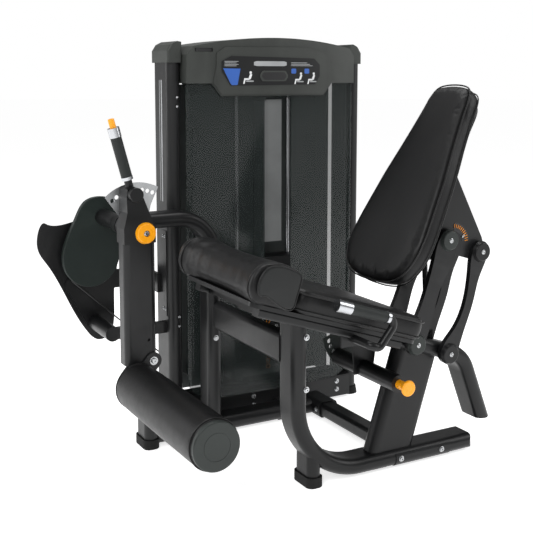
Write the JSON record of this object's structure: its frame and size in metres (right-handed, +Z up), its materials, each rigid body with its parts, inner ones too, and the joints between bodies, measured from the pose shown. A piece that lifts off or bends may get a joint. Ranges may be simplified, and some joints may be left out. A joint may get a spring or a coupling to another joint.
{
  "type": "leg extension machine",
  "caption": "Seated leg extension machine: pivoting leg arm with ankle roller, weight-stack tower with smoked shroud, tilted seat and adjustable backrest.",
  "frame": {"origin": "centre of the overall bounding box, on the floor", "axes": "+X along the tower's face and away from the way the user faces, +Y from the user's side back to the tower, +Z up"},
  "size_m": [1.5012, 1.3439, 1.6239],
  "materials": {
    "accent_yellow": "gloss",
    "bolt_steel": "zinc",
    "cable_black": "satin",
    "cam_green": "satin",
    "cap_plastic": "satin",
    "chrome_bright": "polished",
    "frame_black": "textured matte",
    "grip_rubber": "matte",
    "header_grey": "satin",
    "panel_grey": "satin",
    "panel_vinyl": "satin",
    "placard_grey": "satin",
    "rod_steel": "polished",
    "rubber_black": "matte",
    "selector_steel": "brushed",
    "shroud_smoke": "smoked",
    "stack_iron": "painted",
    "vinyl_black": "grained vinyl"
  },
  "bodies": {
    "frame": {"foot_frame": "frame_black", "base_frame": "frame_black", "curved_upright": "frame_black", "pivot_housing": "frame_black", "seat_tube": "frame_black", "seat_frame": "frame_black", "adjuster_tube": "frame_black", "tower_posts": "frame_black", "tower_caps": "header_grey", "tower_header": "header_grey", "tower_base": "frame_black", "tower_top_beam": "frame_black", "lower_pulley_bracket": "frame_black", "placard_panel": "placard_grey", "front_shroud": "shroud_smoke", "rear_shroud": "frame_black", "inner_panel": "panel_grey", "stack_plates_fixed": "stack_iron", "guide_rods": "rod_steel", "rubber_feet": "rubber_black", "drive_cable_run": "cable_black", "drive_cable_loop": "cable_black", "drive_cable_drop": "cable_black", "cam_guard": "frame_black", "seat_cushion": "vinyl_black", "thigh_roll": "vinyl_black", "roll_end_panel": "panel_vinyl", "handle_tubes": "frame_black", "handle_grips": "grip_rubber", "handle_chrome": "chrome_bright", "frame_bolts": "bolt_steel"},
    "weight_lift": {"stack_plates_lifted": "stack_iron", "stack_head_plate": "stack_iron", "selector_stem": "rod_steel"},
    "selector_pin": {"selector_pin": "accent_yellow"},
    "pulley_left": {"lower_pulley_left": "cap_plastic"},
    "pulley_right": {"lower_pulley_right": "cap_plastic"},
    "pulley_top": {"top_pulley": "cap_plastic"},
    "cam_unit": {"drive_cam": "cam_green", "cam_shaft": "frame_black", "selector_plate": "selector_steel"},
    "leg_arm": {"arm_column": "frame_black", "arm_head": "frame_black", "pivot_cap": "accent_yellow", "lever_chrome": "chrome_bright", "lever_grip": "grip_rubber"},
    "start_button": {"start_button": "accent_yellow"},
    "plunger": {"arm_plunger": "bolt_steel"},
    "roller_yoke": {"roller_yoke": "frame_black", "roller_axle": "bolt_steel"},
    "ankle_roller": {"ankle_roller": "vinyl_black", "roller_caps": "cap_plastic"},
    "pop_pin": {"adjuster_knob": "accent_yellow"},
    "front_links": {"front_links": "frame_black", "front_link_pins": "cap_plastic"},
    "rear_links": {"rear_links": "frame_black"},
    "backrest": {"back_bracket": "frame_black", "backrest_pad": "vinyl_black"},
    "gas_rod": {"gas_spring_rod": "rod_steel"},
    "gas_cylinder": {"gas_spring_cylinder": "frame_black"}
  },
  "joints": [
    {"name": "arm_lift", "type": "hinge", "parent": "frame", "child": "cam_unit", "pos_m": [-0.48631, 0.166, 0.88], "axis": [0, 1, 0], "range_deg": [0, 100]},
    {"name": "start_angle", "type": "hinge", "parent": "cam_unit", "child": "leg_arm", "pos_m": [-0.48631, 0.166, 0.88], "axis": [0, 1, 0], "range_deg": [-16, 24]},
    {"name": "start_button", "type": "slide", "parent": "leg_arm", "child": "start_button", "axis": [0.262, 0, -0.9651], "range_m": [0, 0.006], "stiffness_N_per_m": 600, "springref_m": -0.002},
    {"name": "plunger_pull", "type": "slide", "parent": "leg_arm", "child": "plunger", "axis": [0, -1, 0], "range_m": [0, 0.006]},
    {"name": "yoke_swing", "type": "hinge", "parent": "leg_arm", "child": "roller_yoke", "pos_m": [-0.46431, 0.166, 0.388], "axis": [0, 1, 0], "range_deg": [-12, 12]},
    {"name": "roller_spin", "type": "hinge", "parent": "roller_yoke", "child": "ankle_roller", "pos_m": [-0.53731, -0.234, 0.304], "axis": [0, 1, 0], "continuous": true},
    {"name": "weight_lift", "type": "slide", "parent": "frame", "child": "weight_lift", "axis": [0, 0, 1], "range_m": [0, 0.37], "deforming": ["drive_cable_drop"]},
    {"name": "selector_pin", "type": "slide", "parent": "weight_lift", "child": "selector_pin", "axis": [0, -1, 0], "range_m": [0, 0.075]},
    {"name": "pulley_left_spin", "type": "hinge", "parent": "frame", "child": "pulley_left", "pos_m": [-0.05931, 0.616, 0.155], "axis": [0, 1, 0], "continuous": true},
    {"name": "pulley_right_spin", "type": "hinge", "parent": "frame", "child": "pulley_right", "pos_m": [0.19569, 0.616, 0.155], "axis": [0, 1, 0], "continuous": true},
    {"name": "pulley_top_spin", "type": "hinge", "parent": "frame", "child": "pulley_top", "pos_m": [0.23769, 0.576, 1.424], "axis": [1, 0, 0], "continuous": true},
    {"name": "back_adjust", "type": "hinge", "parent": "frame", "child": "front_links", "pos_m": [0.35269, -0.356, 0.477], "axis": [0, 1, 0], "range_deg": [-10, 8]},
    {"name": "back_level", "type": "hinge", "parent": "front_links", "child": "backrest", "pos_m": [0.49669, -0.356, 0.857], "axis": [0, 1, 0], "range_deg": [-8, 10]},
    {"name": "rear_link", "type": "hinge", "parent": "frame", "child": "rear_links", "pos_m": [0.50969, -0.356, 0.42], "axis": [0, 1, 0], "range_deg": [-10, 8]},
    {"name": "gas_swing", "type": "hinge", "parent": "frame", "child": "gas_rod", "pos_m": [0.46869, -0.356, 0.48773], "axis": [0, 1, 0], "range_deg": [-14, 12]},
    {"name": "gas_stroke", "type": "slide", "parent": "gas_rod", "child": "gas_cylinder", "axis": [-0.06, 0, 0.9982], "range_m": [-0.03, 0.03]},
    {"name": "pop_pin", "type": "slide", "parent": "frame", "child": "pop_pin", "axis": [0, -1, 0], "range_m": [0, 0.012], "stiffness_N_per_m": 500, "springref_m": -0.004}
  ],
  "couplings": [
    {"joint": "weight_lift", "follows": "arm_lift", "m_per_rad": 0.21},
    {"joint": "pulley_left_spin", "follows": "arm_lift", "ratio": 5},
    {"joint": "pulley_right_spin", "follows": "arm_lift", "ratio": 5},
    {"joint": "pulley_top_spin", "follows": "arm_lift", "ratio": -5.25},
    {"joint": "plunger_pull", "follows": "start_button", "ratio": 1},
    {"joint": "back_level", "follows": "back_adjust", "ratio": -1},
    {"joint": "rear_link", "follows": "back_adjust", "ratio": 1},
    {"joint": "gas_swing", "follows": "back_adjust", "ratio": 1.2363},
    {"joint": "gas_stroke", "follows": "back_adjust", "m_per_rad": -0.16655}
  ]
}
